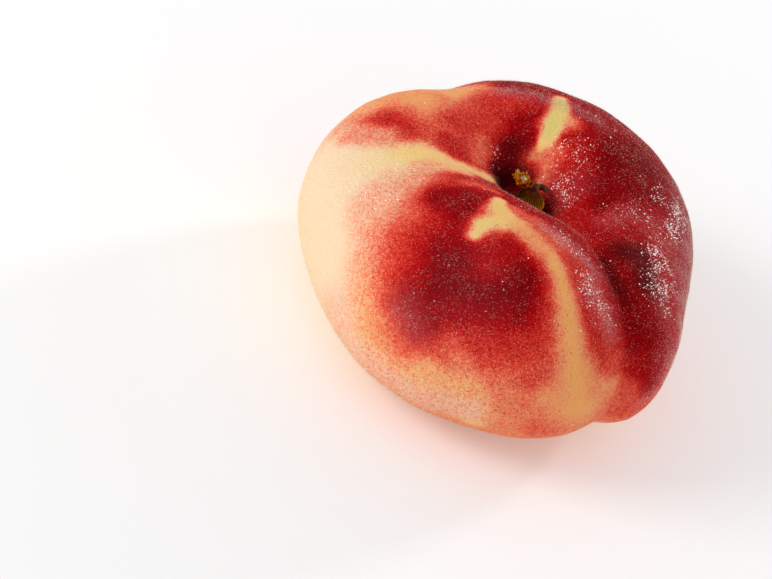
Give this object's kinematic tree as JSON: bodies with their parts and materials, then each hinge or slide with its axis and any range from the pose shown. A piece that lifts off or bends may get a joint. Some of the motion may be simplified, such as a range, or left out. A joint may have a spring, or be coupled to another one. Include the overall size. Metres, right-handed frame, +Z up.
{
  "type": "flat peach",
  "caption": "Flattened round stone fruit with full cheeks, a deep seam, a dimple underneath and a hollow on top that holds the torn stub of its stalk.",
  "frame": {"origin": "middle of the fruit's outline from above, at the level of the ring round the lower dimple that it rests on", "axes": "+Z up along the axis from the lower dimple to the stalk; -Y towards the full cheek; the seam runs down the side about 40 degrees from +X towards -Y"},
  "size_m": [0.071, 0.0762, 0.0372],
  "materials": {
    "peach_skin": "matte",
    "dry_stalk": "matte"
  },
  "bodies": {
    "root": {"fruit": "peach_skin", "stem_stub": "dry_stalk"}
  },
  "joints": []
}
